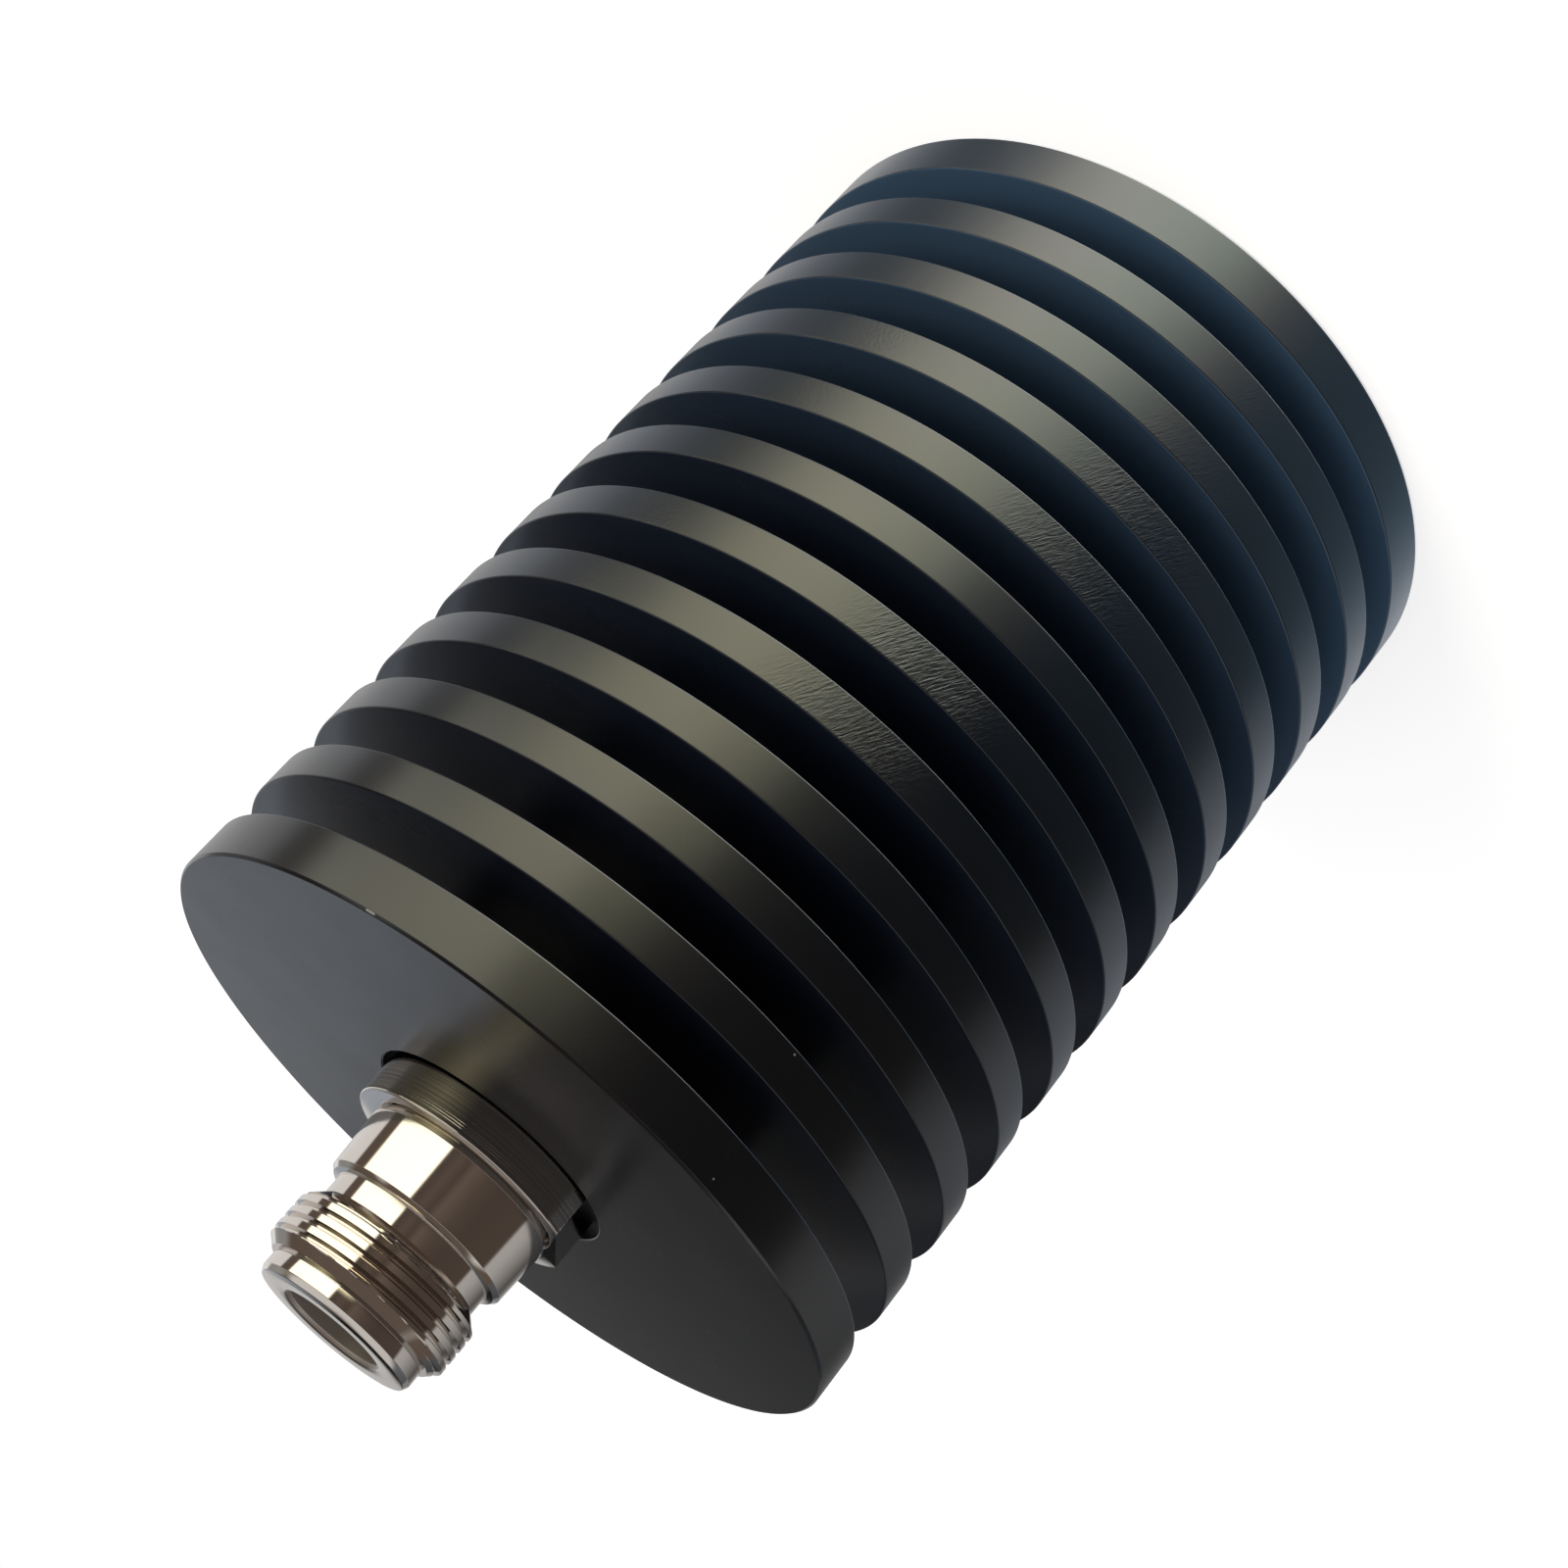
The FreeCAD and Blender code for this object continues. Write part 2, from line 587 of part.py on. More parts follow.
def socketScrew(name, radius, length, head, headHeight, key, keyDepth, seat, rotation, along):
    # Cap screw whose head rests on the seat: along is the unit step from the seat to the top of the head
    def moved(distance):
        return [place + distance * step if step else place for place, step in zip(seat, along)]

    shank = cylinder(name + "_shank", radius, length, moved(-length), rotation)
    cap = cylinder(name + "_cap", head, headHeight, seat, rotation)
    key = hexagon(name + "_key", key, keyDepth, moved(headHeight - keyDepth), rotation)
    solid = document.addObject("Part::Fuse", name + "_solid")
    solid.Base = shank
    solid.Tool = cap
    screw = document.addObject("Part::Cut", name)
    screw.Base = solid
    screw.Tool = key
    for item in (shank, cap, key, solid):
        item.Visibility = False
    return screw


# Screw that clamps the resistor's flange to the platform, upright on the platform
sideways = FreeCAD.Rotation(FreeCAD.Vector(1, 0, 0), -90)
clampSeat = (0, flangeTop + washerThickness, holeHeight)
clamp = socketScrew("flange_screw", clampRadius, clampLength, clampHead, clampHeadHeight,
                    clampKey, clampKeyDepth, clampSeat, sideways, (0, 1, 0))
clamp.Label = "flange_screw"
stand(clamp, sinkLength, True)
pieces.append(clamp)

# Two screws through the carrier's front plate into the spigot, heads behind the plate
downwards = FreeCAD.Rotation(FreeCAD.Vector(1, 0, 0), 180)
rightSeat = (screwAcross, screwAbove, plateLow)
right = socketScrew("carrier_screw", screwRadius, screwLength, screwHead, screwHeadHeight,
                    screwKey, screwKeyDepth, rightSeat, downwards, (0, 0, -1))
left = document.addObject("Part::Mirroring", "carrier_screw_mirrored")
left.Source = right
left.Normal = FreeCAD.Vector(1, 0, 0)
pair = document.addObject("Part::Compound", "carrier_screws")
pair.Label = "carrier_screws"
pair.Links = [right, left]
stand(pair, sinkLength, True)
pieces.append(pair)

document.recompute()

for item in document.Objects:
    if "Invalid" in item.State or "Error" in item.State:
        raise RuntimeError(item.Name + " did not build: " + str(item.State))
os.makedirs("parts", exist_ok=True)
for piece in pieces:
    shape = piece.Shape
    if shape.isNull() or not shape.isValid():
        raise RuntimeError(piece.Label + " has no sound shape")
    box = shape.BoundBox
    print(piece.Label, "solids", len(shape.Solids), "volume", round(shape.Volume, 2),
          "z", round(box.ZMin, 3), round(box.ZMax, 3))
    shape.exportStep("parts/" + piece.Label + ".step")
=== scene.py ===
import json
import math
import bmesh
import bpy
from mathutils import Euler, Matrix, Vector


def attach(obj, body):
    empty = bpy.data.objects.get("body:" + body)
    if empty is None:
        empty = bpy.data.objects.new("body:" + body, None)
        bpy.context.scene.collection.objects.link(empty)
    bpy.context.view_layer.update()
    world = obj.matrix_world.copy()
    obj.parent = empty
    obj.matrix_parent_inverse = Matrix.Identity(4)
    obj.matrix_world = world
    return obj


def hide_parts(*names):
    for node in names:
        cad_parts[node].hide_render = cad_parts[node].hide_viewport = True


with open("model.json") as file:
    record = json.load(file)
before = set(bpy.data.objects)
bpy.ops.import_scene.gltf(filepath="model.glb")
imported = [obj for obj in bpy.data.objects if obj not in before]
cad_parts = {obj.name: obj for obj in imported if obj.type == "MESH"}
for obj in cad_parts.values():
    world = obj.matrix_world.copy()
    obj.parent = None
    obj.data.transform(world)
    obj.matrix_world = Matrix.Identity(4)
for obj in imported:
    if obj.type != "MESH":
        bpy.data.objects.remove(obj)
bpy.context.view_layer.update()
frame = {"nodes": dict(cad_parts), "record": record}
mm = 0.001
weld = 2e-6                # metres: points nearer than this become one
sliver = 1e-8              # metres: edges shorter than this are dissolved
crisp = 24                 # degrees: edges sharper than this stay crisp
overcut = 2.0              # how far a cutting shape reaches past what it cuts
noiseSpan = (0.3, 0.7)     # nearly all of a noise texture's values lie between these
print("stage: frame loaded,", len(frame["nodes"]), "nodes")


def hexColour(code):
    # sRGB hex to the linear values that the shader wants
    parts = [int(code[i:i + 2], 16) / 255 for i in (1, 3, 5)]
    return [c / 12.92 if c <= 0.04045 else ((c + 0.055) / 1.055) ** 2.4 for c in parts] + [1.0]


def grey(value):
    return [value, value, value, 1.0]


def turnShare(degrees):
    # Degrees round the axis, from the camera side towards +X, to a place on a colour ramp
    return 0.5 + degrees / 360


def addNode(tree, kind, feeds=None, stops=None, **settings):
    # One node with its settings; feeds gives its inputs, each a socket or a plain value
    node = tree.nodes.new(kind)
    for name, value in settings.items():
        setattr(node, name, value)
    for count, (position, colour) in enumerate(stops or []):
        points = node.color_ramp.elements
        point = points[count] if count < 2 else points.new(position)
        point.position, point.color = position, colour
    for name, value in (feeds or {}).items():
        if isinstance(value, bpy.types.NodeSocket):
            tree.links.new(value, node.inputs[name])
        else:
            node.inputs[name].default_value = value
    return node.outputs


def newMaterial(name, constants):
    # Principled shader with its constants on its own sockets, and the object's coordinates
    material = bpy.data.materials.new(name)
    material.use_nodes = True
    tree = material.node_tree
    tree.nodes.clear()
    addNode(tree, "ShaderNodeBsdfPrincipled", constants)
    shader = tree.nodes[-1]
    addNode(tree, "ShaderNodeOutputMaterial", {"Surface": shader.outputs["BSDF"]})
    return material, tree, shader, addNode(tree, "ShaderNodeTexCoord")["Object"]


def axisDistance(tree, place):
    # Distance of a point from the Z axis
    across = addNode(tree, "ShaderNodeVectorMath", {0: place, 1: (1, 1, 0)}, operation="MULTIPLY")["Vector"]
    return addNode(tree, "ShaderNodeVectorMath", {0: across}, operation="LENGTH")["Value"]


def angleRound(tree, place):
    # X, Y and Z of a point, and its angle round Z from the camera side towards +X
    part = addNode(tree, "ShaderNodeSeparateXYZ", {"Vector": place})
    forward = addNode(tree, "ShaderNodeMath", {0: part["Y"], 1: -1.0}, operation="MULTIPLY")[0]
    angle = addNode(tree, "ShaderNodeMath", {0: part["X"], 1: forward}, operation="ARCTAN2")[0]
    return part, angle


# Materials

anodised = {
    "colour": "#08090c", "ior": 1.6,
    # Painted bluish light between the fins, by its share of the length: bluer, and palest at the plain end
    "between": [(0.05, "#3a5066"), (0.45, "#171f2c"), (0.85, "#0e121c")],
    # the front face is kept free of the painted light between the fins down to faceDepth
    "faceDepth": 2.0,                      # down to here the front face keeps the rims' colour
    "roughness": (0.25, 0.275),            # of the glossiest and the dullest places
    "mottle": 6.0, "mottleDetail": 1.0,    # slow change of gloss
    "edgeRoughness": 0.14,                 # the fins' edges are rubbed smooth
    # Depths under a rim at which a mask begins and is full
    # sunk: depths under a rim where the painted bluish light between the fins begins and is full
    "masks": {"rim": (0.5, 0.2), "edgeFrom": (0.2, 0.1), "edgeUpTo": (0.01, 0.04), "sunk": (0.01, 0.06)},
    "detail": 2.0,                         # octaves of the patterns in relief
    "grain": 0.12, "grainHeight": 0.0005,  # etched grain under the dye, drawn coarser than real to show
    "wrinkle": (0.17, 1.1), "wrinkleHeight": 0.044,    # folds in the skin, width and length
    "wrinkleTilt": -61, "wrinkleTwist": 0.6,
    "wrinkleArc": (-18, -9, 3, 13),        # degrees where it begins, is full from, full to, and ends
    "coarse": 0.25, "coarseHeight": 0.02,  # pitted skin beside it
    "coarseArc": (34, 41, 51, 58),
    # Strength of both by the share of the length, and how far they creep round with it
    "patchRows": [(0.2, 0.2), (0.27, 0.7), (0.4, 0.7), (0.43, 0.0), (0.485, 0.0), (0.515, 1.0),
                  (0.57, 1.0), (0.6, 0.8), (0.655, 0.8), (0.69, 0.1), (0.75, 0.0)],
    "patchMiddle": 0.546, "patchCreep": 34,    # degrees over the whole length
    # Nick on the front edge and three specks, bare metal: place and radius
    "mark": "#8f8f8c",
    "marks": [(15.25, -25.76, 81.88, 0.11), (15.42, -25.66, 81.88, 0.12), (15.6, -25.56, 81.88, 0.12),
              (15.77, -25.45, 81.88, 0.11), (-11.1, -27.9, 71.3, 0.1), (-12.1, -27.5, 81.05, 0.1),
              (6.3, -29.3, 33.9, 0.12)],
}


def anodisedAluminium():
    # Black dyed anodising on turned aluminium: deep black, satin, with a soft stretched highlight, and painted
    # bluish light between the fins
    a = anodised
    material, tree, shader, place = newMaterial("anodised_aluminium", {"Metallic": 0.0, "IOR": a["ior"]})
    part, angle = angleRound(tree, place)
    share = addNode(tree, "ShaderNodeMapRange", {"Value": angle, "From Min": -math.pi, "From Max": math.pi})[0]
    radius = axisDistance(tree, place)
    wide = sink["radius"]
    masks = {}
    for name, (start, full) in a["masks"].items():
        masks[name] = addNode(tree, "ShaderNodeMapRange", {
            "Value": radius, "From Min": (wide - start) * mm, "From Max": (wide - full) * mm})[0]

    # Heights in millimetres: even grain, then a wrinkled and a coarse stretch of every rim
    fine = addNode(tree, "ShaderNodeTexNoise", {
        "Vector": place, "Scale": 1 / (a["grain"] * mm), "Detail": a["detail"]})["Fac"]
    coarse = addNode(tree, "ShaderNodeTexNoise", {
        "Vector": place, "Scale": 1 / (a["coarse"] * mm), "Detail": a["detail"]})["Fac"]
    arc = addNode(tree, "ShaderNodeMath", {0: angle, 1: wide * mm}, operation="MULTIPLY")[0]
    sheet = addNode(tree, "ShaderNodeCombineXYZ", {"X": arc, "Y": part["Z"]})[0]
    tilted = addNode(tree, "ShaderNodeVectorRotate", {
        "Vector": sheet, "Angle": math.radians(a["wrinkleTilt"])}, rotation_type="Z_AXIS")[0]
    foldWidth, foldLength = a["wrinkle"]
    folds = (1 / (foldLength * mm), 1 / (foldWidth * mm), 0)
    folded = addNode(tree, "ShaderNodeVectorMath", {0: tilted, 1: folds}, operation="MULTIPLY")[0]
    wrinkle = addNode(tree, "ShaderNodeTexNoise", {
        "Vector": folded, "Scale": 1.0, "Detail": a["detail"], "Distortion": a["wrinkleTwist"]})["Fac"]

    # Where on the rims they are: rows by height, arcs that creep round with it
    up = addNode(tree, "ShaderNodeMapRange", {"Value": part["Z"], "From Max": sink["length"] * mm})[0]
    stops = [(at, grey(level)) for at, level in a["patchRows"]]
    rows = addNode(tree, "ShaderNodeValToRGB", {"Fac": up}, stops)["Color"]
    along = addNode(tree, "ShaderNodeMath", {0: up, 1: a["patchMiddle"]}, operation="SUBTRACT")[0]
    crept = addNode(tree, "ShaderNodeMath", {
        0: along, 1: -a["patchCreep"] / 360, 2: share}, operation="MULTIPLY_ADD")[0]
    height = addNode(tree, "ShaderNodeMath", {0: fine, 1: a["grainHeight"]}, operation="MULTIPLY")[0]
    for pattern, arcEnds, most in ((wrinkle, a["wrinkleArc"], a["wrinkleHeight"]),
                                   (coarse, a["coarseArc"], a["coarseHeight"])):
        stops = [(turnShare(degrees), grey(level)) for degrees, level in zip(arcEnds, (0, most, most, 0))]
        there = addNode(tree, "ShaderNodeValToRGB", {"Fac": crept}, stops)["Color"]
        held = addNode(tree, "ShaderNodeMath", {0: there, 1: rows}, operation="MULTIPLY")[0]
        raised = addNode(tree, "ShaderNodeMath", {0: pattern, 1: held}, operation="MULTIPLY")[0]
        height = addNode(tree, "ShaderNodeMath", {0: height, 1: raised}, operation="ADD")[0]
    height = addNode(tree, "ShaderNodeMath", {0: height, 1: masks["rim"]}, operation="MULTIPLY")[0]
    bump = addNode(tree, "ShaderNodeBump", {"Height": height, "Strength": 1.0, "Distance": mm})["Normal"]

    # Colour: black, painted bluish light between the fins, bare metal in the marks
    marked = 0.0
    for x, y, z, spot in a["marks"]:
        away = addNode(tree, "ShaderNodeVectorMath", {
            0: place, 1: (x * mm, y * mm, z * mm)}, operation="DISTANCE")["Value"]
        here = addNode(tree, "ShaderNodeMapRange", {
            "Value": away, "From Min": spot * mm, "From Max": spot * mm / 2})[0]
        marked = addNode(tree, "ShaderNodeMath", {0: marked, 1: here}, operation="MAXIMUM")[0]
    # Painted bluish light: under the rims and behind the front face the black turns a lighter blue, palest at the
    # plain end
    behind = addNode(tree, "ShaderNodeMath", {
        0: part["Z"], 1: (sink["length"] - a["faceDepth"]) * mm}, operation="LESS_THAN")[0]
    paintedGapMask = addNode(tree, "ShaderNodeMath", {0: masks["sunk"], 1: behind}, operation="MULTIPLY")[0]
    stops = [(at, hexColour(code)) for at, code in a["between"]]
    paintedGapLightColour = addNode(tree, "ShaderNodeValToRGB", {"Fac": up}, stops)["Color"]
    # Inputs 6 and 7 of a colour mix are its two colours, 2 and 3 of a number mix its two numbers
    blackWithPaintedGapLight = addNode(tree, "ShaderNodeMix", {0: paintedGapMask, 6: hexColour(a["colour"]), 7: paintedGapLightColour}, data_type="RGBA")[2]
    colour = addNode(tree, "ShaderNodeMix", {0: marked, 6: blackWithPaintedGapLight, 7: hexColour(a["mark"])}, data_type="RGBA")[2]

    slow = addNode(tree, "ShaderNodeTexNoise", {
        "Vector": place, "Scale": 1 / (a["mottle"] * mm), "Detail": a["mottleDetail"]})["Fac"]
    even = addNode(tree, "ShaderNodeMapRange", {
        "Value": slow, "From Min": noiseSpan[0], "From Max": noiseSpan[1],
        "To Min": a["roughness"][0], "To Max": a["roughness"][1]})[0]
    edge = addNode(tree, "ShaderNodeMath", {0: masks["edgeFrom"], 1: masks["edgeUpTo"]}, operation="MULTIPLY")[0]
    gloss = addNode(tree, "ShaderNodeMix", {0: edge, 2: even, 3: a["edgeRoughness"]}, data_type="FLOAT")[0]
    for name, source in (("Base Color", colour), ("Roughness", gloss), ("Normal", bump)):
        tree.links.new(source, shader.inputs[name])
    return material


nickel = {
    "colour": "#d9d1c9",
    "roughness": 0.075, "insideRoughness": 0.45,
    "insideRadius": (4.2, 4.4),                # the mouth's wall is satin up to here, bright from here
    "lines": 0.09, "lineHeight": 0.0005,       # turning lines under the plate, drawn coarser than real to show
    "lineDetail": 3.0, "lineGrit": 0.6,
    "lineRadius": (4.2, 4.6),                  # none inside, full from here
    "coarse": 0.3, "coarseHeight": 0.03,       # coarser ones on the round base
    "coarseDetail": 2.0, "coarseRadius": (9.5, 9.6),
}


def nickelPlate():
    # Bright nickel on turned brass: warm mirror with faint lines round the axis
    n = nickel
    material, tree, shader, place = newMaterial("nickel_plate", {
        "Base Color": hexColour(n["colour"]), "Metallic": 1.0})
    height = addNode(tree, "ShaderNodeSeparateXYZ", {"Vector": place})["Z"]
    radius = axisDistance(tree, place)
    profile = addNode(tree, "ShaderNodeCombineXYZ", {"X": radius, "Z": height})[0]
    scaled = {}
    for name, (start, full), low, high in (
            ("thin", n["lineRadius"], 0.0, n["lineHeight"]),
            ("thick", n["coarseRadius"], 0.0, n["coarseHeight"]),
            ("gloss", n["insideRadius"], n["insideRoughness"], n["roughness"])):
        scaled[name] = addNode(tree, "ShaderNodeMapRange", {
            "Value": radius, "From Min": start * mm, "From Max": full * mm, "To Min": low, "To Max": high})[0]
    fine = addNode(tree, "ShaderNodeTexNoise", {
        "Vector": profile, "Scale": 1 / (n["lines"] * mm), "Detail": n["lineDetail"],
        "Roughness": n["lineGrit"]})["Fac"]
    coarse = addNode(tree, "ShaderNodeTexNoise", {
        "Vector": profile, "Scale": 1 / (n["coarse"] * mm), "Detail": n["coarseDetail"]})["Fac"]
    thin = addNode(tree, "ShaderNodeMath", {0: fine, 1: scaled["thin"]}, operation="MULTIPLY")[0]
    thick = addNode(tree, "ShaderNodeMath", {0: coarse, 1: scaled["thick"]}, operation="MULTIPLY")[0]
    both = addNode(tree, "ShaderNodeMath", {0: thin, 1: thick}, operation="ADD")[0]
    bump = addNode(tree, "ShaderNodeBump", {"Height": both, "Strength": 1.0, "Distance": mm})["Normal"]
    tree.links.new(bump, shader.inputs["Normal"])
    tree.links.new(scaled["gloss"], shader.inputs["Roughness"])
    return material


# Finishes of the pieces inside: colour, roughness, grain size
innerMetals = {
    "gold_plate": ("#f0c878", 0.2, 0.3),          # warm yellow shine, on the contact
    "bare_brass": ("#d8b878", 0.3, 0.3),          # turned, duller yellow
    "plain_aluminium": ("#cfd0d2", 0.35, 0.3),    # milled, pale grey
    "plated_copper": ("#cbc6bf", 0.3, 0.3),       # nickel on copper, warm grey
    "silver_ribbon": ("#e4e2de", 0.25, 0.3),      # rolled, nearly white
    "stainless_steel": ("#b8b6b2", 0.3, 0.3),     # turned, mid grey
    "black_steel": ("#2a2a2c", 0.4, 0.2),         # blackened, dark and soft
}
innerDull = {
    "bead_plastic": ("#efede6", 0.45, 1.0),       # turned fluoroplastic, waxy white
    "alumina": ("#ebe9e3", 0.6, 0.2),             # fired ceramic, chalky white
}
metalSwing = 0.05     # roughness to both sides
dullShade = 0.94      # darkest grain as a share of the colour
metalDetail, dullDetail = 2.0, 3.0


def simpleMetal(name, colour, roughness, grainSize):
    # Turned or drawn metal inside the part, gloss a little uneven
    material, tree, shader, place = newMaterial(name, {"Base Color": hexColour(colour), "Metallic": 1.0})
    noise = addNode(tree, "ShaderNodeTexNoise", {
        "Vector": place, "Scale": 1 / (grainSize * mm), "Detail": metalDetail})["Fac"]
    gloss = addNode(tree, "ShaderNodeMapRange", {
        "Value": noise, "From Min": noiseSpan[0], "From Max": noiseSpan[1],
        "To Min": roughness - metalSwing, "To Max": roughness + metalSwing})[0]
    tree.links.new(gloss, shader.inputs["Roughness"])
    return material


def dull(name, colour, roughness, grainSize):
    # Ceramic or plastic: a faint grain in the colour
    material, tree, shader, place = newMaterial(name, {"Roughness": roughness})
    noise = addNode(tree, "ShaderNodeTexNoise", {
        "Vector": place, "Scale": 1 / (grainSize * mm), "Detail": dullDetail})["Fac"]
    base = hexColour(colour)
    stops = list(zip(noiseSpan, ([c * dullShade for c in base[:3]] + [1.0], base)))
    shade = addNode(tree, "ShaderNodeValToRGB", {"Fac": noise}, stops)["Color"]
    tree.links.new(shade, shader.inputs["Base Color"])
    return material


# Turned pieces: a half profile is spun round the axis by Geometry Nodes

def newTree(name, sockets):
    # Geometry Nodes tree with named inputs; gives the tree and its input sockets
    tree = bpy.data.node_groups.new(name, "GeometryNodeTree")
    for label, kind in sockets:
        tree.interface.new_socket(label, in_out="INPUT", socket_type="NodeSocket" + kind)
    tree.interface.new_socket("Geometry", in_out="OUTPUT", socket_type="NodeSocketGeometry")
    return tree, addNode(tree, "NodeGroupInput")


def ringGrid(tree, rows, segments):
    # Grid of rows and columns; gives it with each point's row and its share of a turn.
    # The half point added to the index keeps the division off whole numbers.
    columns = addNode(tree, "ShaderNodeMath", {0: segments, 1: 1.0}, operation="ADD")[0]
    grid = addNode(tree, "GeometryNodeMeshGrid", {"Vertices X": rows, "Vertices Y": columns})["Mesh"]
    index = addNode(tree, "GeometryNodeInputIndex")["Index"]
    inside = addNode(tree, "ShaderNodeMath", {0: index, 1: 0.5}, operation="ADD")[0]
    count = addNode(tree, "ShaderNodeMath", {0: inside, 1: columns}, operation="DIVIDE")[0]
    row = addNode(tree, "ShaderNodeMath", {0: count}, operation="FLOOR")[0]
    before = addNode(tree, "ShaderNodeMath", {0: row, 1: columns}, operation="MULTIPLY")[0]
    column = addNode(tree, "ShaderNodeMath", {0: index, 1: before}, operation="SUBTRACT")[0]
    return grid, row, addNode(tree, "ShaderNodeMath", {0: column, 1: segments}, operation="DIVIDE")[0]


def turnAndClose(tree, grid, flat, share, finish, others=None):
    # Points in the XZ plane go round the axis; doubles merged, instances made real, material set
    angle = addNode(tree, "ShaderNodeMath", {0: share, 1: 2 * math.pi}, operation="MULTIPLY")[0]
    place = addNode(tree, "ShaderNodeVectorRotate", {"Vector": flat, "Angle": angle}, rotation_type="Z_AXIS")[0]
    shape = addNode(tree, "GeometryNodeSetPosition", {"Geometry": grid, "Position": place})["Geometry"]
    if others:
        shape = addNode(tree, "GeometryNodeJoinGeometry", {"Geometry": shape})["Geometry"]
        tree.links.new(others, shape.node.inputs["Geometry"])
    merged = addNode(tree, "GeometryNodeMergeByDistance", {"Geometry": shape, "Distance": weld})["Geometry"]
    smooth = addNode(tree, "GeometryNodeSetShadeSmooth", {"Geometry": merged})["Geometry"]
    real = addNode(tree, "GeometryNodeRealizeInstances", {"Geometry": smooth})["Geometry"]
    painted = addNode(tree, "GeometryNodeSetMaterial", {"Geometry": real, "Material": finish})["Geometry"]
    addNode(tree, "NodeGroupOutput", {"Geometry": painted})


def turningTree():
    # Every point of the profile becomes a ring
    tree, given = newTree("turnedProfile", [("Profile", "Geometry"), ("Segments", "Int"), ("Finish", "Material")])
    points = addNode(tree, "GeometryNodeAttributeDomainSize", {"Geometry": given["Profile"]})["Point Count"]
    grid, row, share = ringGrid(tree, points, given["Segments"])
    own = addNode(tree, "GeometryNodeInputPosition")["Position"]
    picked = addNode(tree, "GeometryNodeSampleIndex", {"Geometry": given["Profile"], "Index": row, "Value": own},
                     data_type="FLOAT_VECTOR", domain="POINT")["Value"]
    turnAndClose(tree, grid, picked, share, given["Finish"])
    return tree


def threadTree():
    # Right-hand screw thread between two heights: each row of the grid climbs one pitch per turn and
    # is held back at both ends, where a cone cuts the crests away
    sizes = ["Pitch", "Crest", "Depth", "Crest End", "Root Start", "Low", "High",
             "Low Radius", "Low Slope", "High Radius", "High Slope"]
    sockets = [("Shape", "Geometry")] + [(name, "Float") for name in sizes]
    sockets += [("Rows", "Int"), ("Turns", "Int"), ("Segments", "Int"), ("Finish", "Material")]
    tree, given = newTree("screwThread", sockets)
    steps = addNode(tree, "ShaderNodeMath", {0: given["Turns"], 1: given["Rows"]}, operation="MULTIPLY")[0]
    rows = addNode(tree, "ShaderNodeMath", {0: steps, 1: 1.0}, operation="ADD")[0]
    grid, row, share = ringGrid(tree, rows, given["Segments"])
    climb = addNode(tree, "ShaderNodeMath", {0: row, 1: given["Rows"]}, operation="DIVIDE")[0]
    turned = addNode(tree, "ShaderNodeMath", {0: climb, 1: share}, operation="ADD")[0]
    begun = addNode(tree, "ShaderNodeMath", {0: turned, 1: 1.0}, operation="SUBTRACT")[0]
    free = addNode(tree, "ShaderNodeMath", {
        0: begun, 1: given["Pitch"], 2: given["Low"]}, operation="MULTIPLY_ADD")[0]
    raised = addNode(tree, "ShaderNodeMath", {0: free, 1: given["Low"]}, operation="MAXIMUM")[0]
    height = addNode(tree, "ShaderNodeMath", {0: raised, 1: given["High"]}, operation="MINIMUM")[0]

    # Flank: distance from the middle of the crest, in pitches
    within = addNode(tree, "ShaderNodeMath", {0: climb}, operation="FRACT")[0]
    centred = addNode(tree, "ShaderNodeMath", {0: within, 1: 0.5}, operation="SUBTRACT")[0]
    apart = addNode(tree, "ShaderNodeMath", {0: centred}, operation="ABSOLUTE")[0]
    sunk = addNode(tree, "ShaderNodeMapRange", {
        "Value": apart, "From Min": given["Crest End"], "From Max": given["Root Start"],
        "To Max": given["Depth"]})[0]
    flank = addNode(tree, "ShaderNodeMath", {0: given["Crest"], 1: sunk}, operation="SUBTRACT")[0]

    # Cones: radius allowed at this height, from both ends
    over = addNode(tree, "ShaderNodeMath", {0: height, 1: given["Low"]}, operation="SUBTRACT")[0]
    under = addNode(tree, "ShaderNodeMath", {0: given["High"], 1: height}, operation="SUBTRACT")[0]
    lowCone = addNode(tree, "ShaderNodeMath", {
        0: over, 1: given["Low Slope"], 2: given["Low Radius"]}, operation="MULTIPLY_ADD")[0]
    highCone = addNode(tree, "ShaderNodeMath", {
        0: under, 1: given["High Slope"], 2: given["High Radius"]}, operation="MULTIPLY_ADD")[0]
    cone = addNode(tree, "ShaderNodeMath", {0: lowCone, 1: highCone}, operation="MINIMUM")[0]
    away = addNode(tree, "ShaderNodeMath", {0: flank, 1: cone}, operation="MINIMUM")[0]
    flat = addNode(tree, "ShaderNodeCombineXYZ", {"X": away, "Z": height})[0]
    turnAndClose(tree, grid, flat, share, given["Finish"], given["Shape"])
    return tree


def bakeModifiers(item):
    # What the modifiers give becomes the object's plain mesh
    bpy.context.view_layer.update()
    result = bpy.data.meshes.new_from_object(item.evaluated_get(bpy.context.evaluated_depsgraph_get()))
    item.modifiers.clear()
    item.data = result


def runTree(item, tree, values):
    # Modifier with its inputs set by identifier, baked at once
    modifier = item.modifiers.new(tree.name, "NODES")
    modifier.node_group = tree
    for socket in tree.interface.items_tree:
        if socket.in_out == "INPUT" and socket.name in values:
            modifier[socket.identifier] = values[socket.name]
    bakeModifiers(item)


def linked(name, data):
    # New object with this mesh, lamp or lens, in the scene
    item = bpy.data.objects.new(name, data)
    bpy.context.scene.collection.objects.link(item)
    return item


def profileLine(name, points):
    # The half profile as a line of points in the XZ plane, from (radius, height) in millimetres
    mesh = bpy.data.meshes.new(name)
    edges = [(k, k + 1) for k in range(len(points) - 1)]
    mesh.from_pydata([(across * mm, 0, up * mm) for across, up in points], edges, [])
    return linked(name, mesh)


